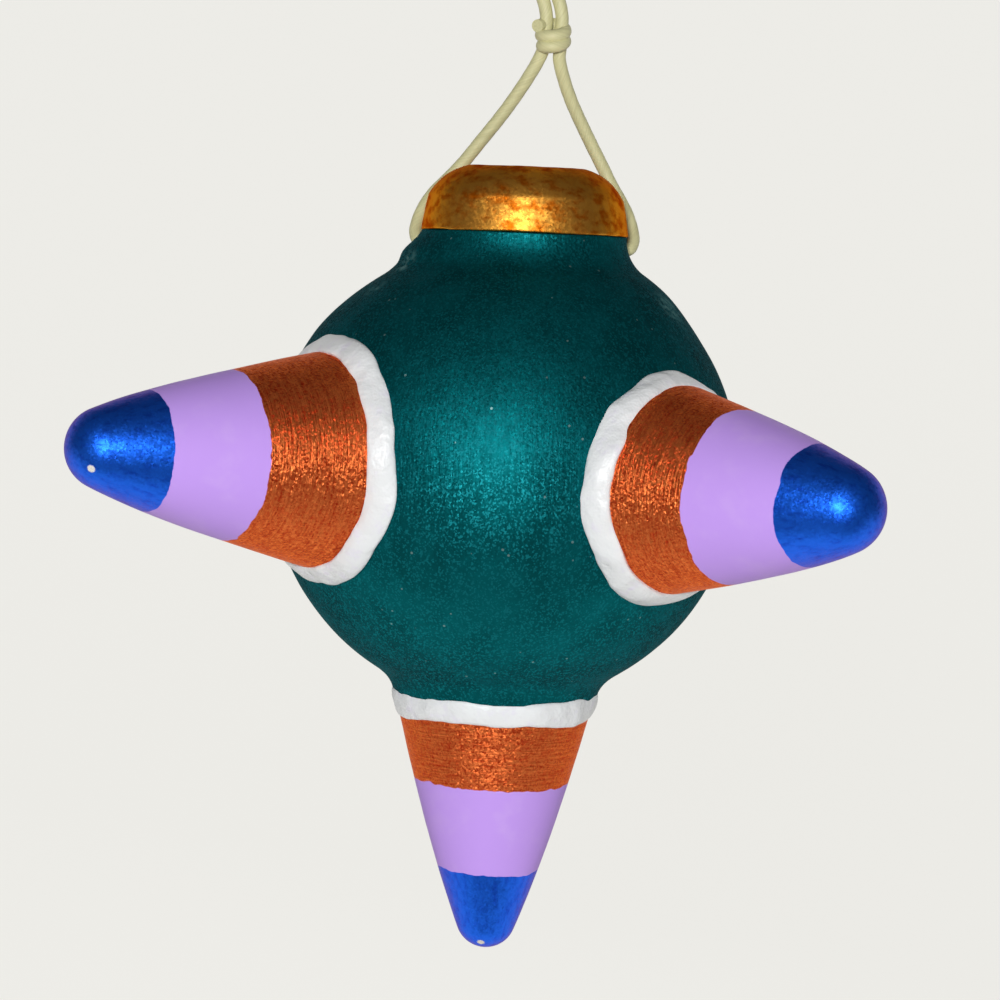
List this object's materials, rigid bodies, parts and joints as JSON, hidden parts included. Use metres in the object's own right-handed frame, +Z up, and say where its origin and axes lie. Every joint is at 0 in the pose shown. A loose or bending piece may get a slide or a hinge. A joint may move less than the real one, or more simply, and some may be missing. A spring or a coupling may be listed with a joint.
{
  "type": "hanging clay pinata ornament",
  "caption": "Round painted clay pot with a gilded rim and blunt banded cones round its belly and under it, hung on a doubled cord that runs through its neck.",
  "frame": {"origin": "the point inside the top of the hanging eye where it bears on a hook", "axes": "+Z up along the cord, the viewer of the picture looks along +Y, +X to the viewer's right"},
  "size_m": [0.063, 0.0591, 0.0978],
  "materials": {
    "teal_paint_on_clay": "satin pearl acrylic paint, brushed on fired clay",
    "gold_paint_on_clay": "metallic gold paint, brushed on fired clay",
    "banded_paint_on_clay": "bands of metallic copper, matt lavender and pearl blue acrylic paint on fired clay",
    "white_slip": "thick white acrylic line, satin",
    "cream_cord": "waxed twisted cotton cord"
  },
  "bodies": {
    "hanging_eye": {"eye_loop": "cream_cord", "eye_knot": "cream_cord"},
    "upper_cord": {"cord_strand_left": "cream_cord", "cord_strand_right": "cream_cord"},
    "knot": {"main_knot": "cream_cord"},
    "bail": {"cord_crossing": "cream_cord", "cord_leg_left": "cream_cord", "cord_leg_right": "cream_cord"},
    "pinata": {"pot_body": "teal_paint_on_clay", "pot_rim": "gold_paint_on_clay", "cone_front_left": "banded_paint_on_clay", "cone_front_right": "banded_paint_on_clay", "cone_back_right": "banded_paint_on_clay", "cone_back_left": "banded_paint_on_clay", "cone_bottom": "banded_paint_on_clay", "slip_line_front_left": "white_slip", "slip_line_front_right": "white_slip", "slip_line_back_right": "white_slip", "slip_line_back_left": "white_slip", "slip_line_bottom": "white_slip"}
  },
  "joints": [
    {"name": "side_swing", "type": "hinge", "parent": "hanging_eye", "child": "upper_cord", "pos_m": [0, 0, -0.0125], "axis": [0, 1, 0], "range_deg": [-30, 30]},
    {"name": "cord_twist", "type": "hinge", "parent": "upper_cord", "child": "knot", "pos_m": [0.0013, 0, -0.0205], "axis": [0, 0, 1], "continuous": true},
    {"name": "fore_swing", "type": "hinge", "parent": "knot", "child": "bail", "pos_m": [0.0013, 0, -0.0205], "axis": [1, 0, 0], "range_deg": [-30, 30]},
    {"name": "neck_tilt", "type": "hinge", "parent": "bail", "child": "pinata", "pos_m": [-0.0004, -0.0003, -0.0379], "axis": [1, 0, 0], "range_deg": [-20, 30]}
  ]
}
